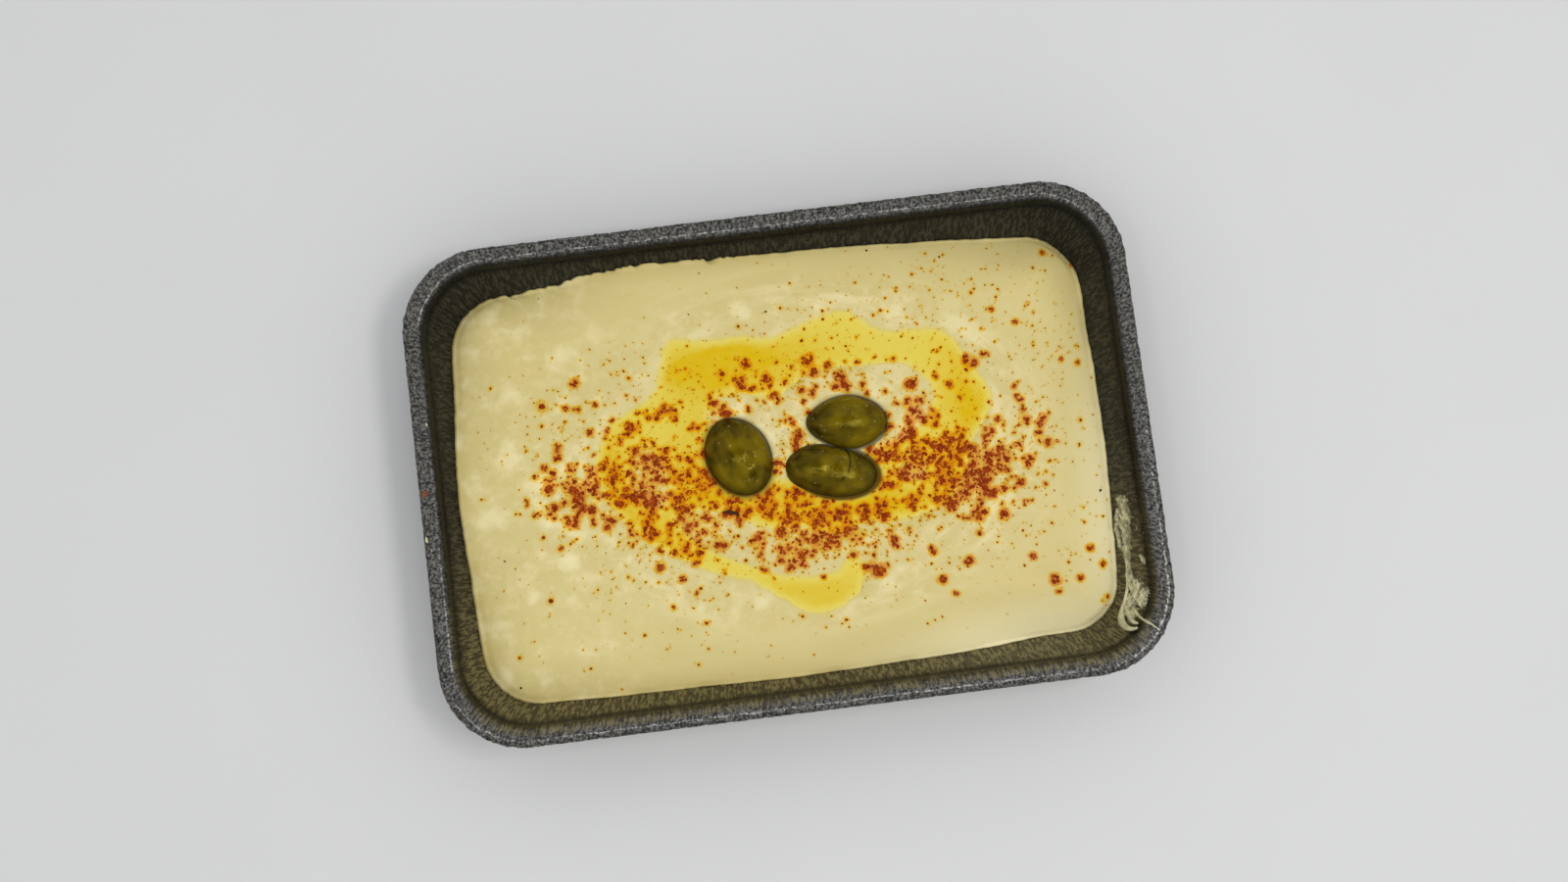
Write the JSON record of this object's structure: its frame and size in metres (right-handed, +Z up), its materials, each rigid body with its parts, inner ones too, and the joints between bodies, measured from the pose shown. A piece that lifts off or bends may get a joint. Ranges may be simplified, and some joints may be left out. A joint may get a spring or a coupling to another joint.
{
  "type": "tray of hummus",
  "caption": "Shallow foam tray filled with hummus, with oil in its swirl, whole green olives in the middle and paprika scattered over it.",
  "frame": {"origin": "bottom centre of the tray, on the surface that it stands on", "axes": "+X along the tray's long side, +Y along its short side towards the rear, +Z up"},
  "size_m": [0.212, 0.1454, 0.026],
  "materials": {
    "tray": "black expanded foam, fine grain with small bright glints, satin",
    "hummus": "smooth cream paste with pale spread marks and red-brown paprika, soft sheen",
    "oil": "clear yellow oil over cream paste, glossy, with sunk paprika",
    "olive_left": "dark green wet skin, glossy",
    "olive_right": "green wet skin, glossy",
    "olive_front": "green wet skin with one split, glossy"
  },
  "bodies": {
    "root": {"tray": "tray", "hummus": "hummus", "oil": "oil", "olive_left": "olive_left", "olive_right": "olive_right", "olive_front": "olive_front"}
  },
  "joints": []
}
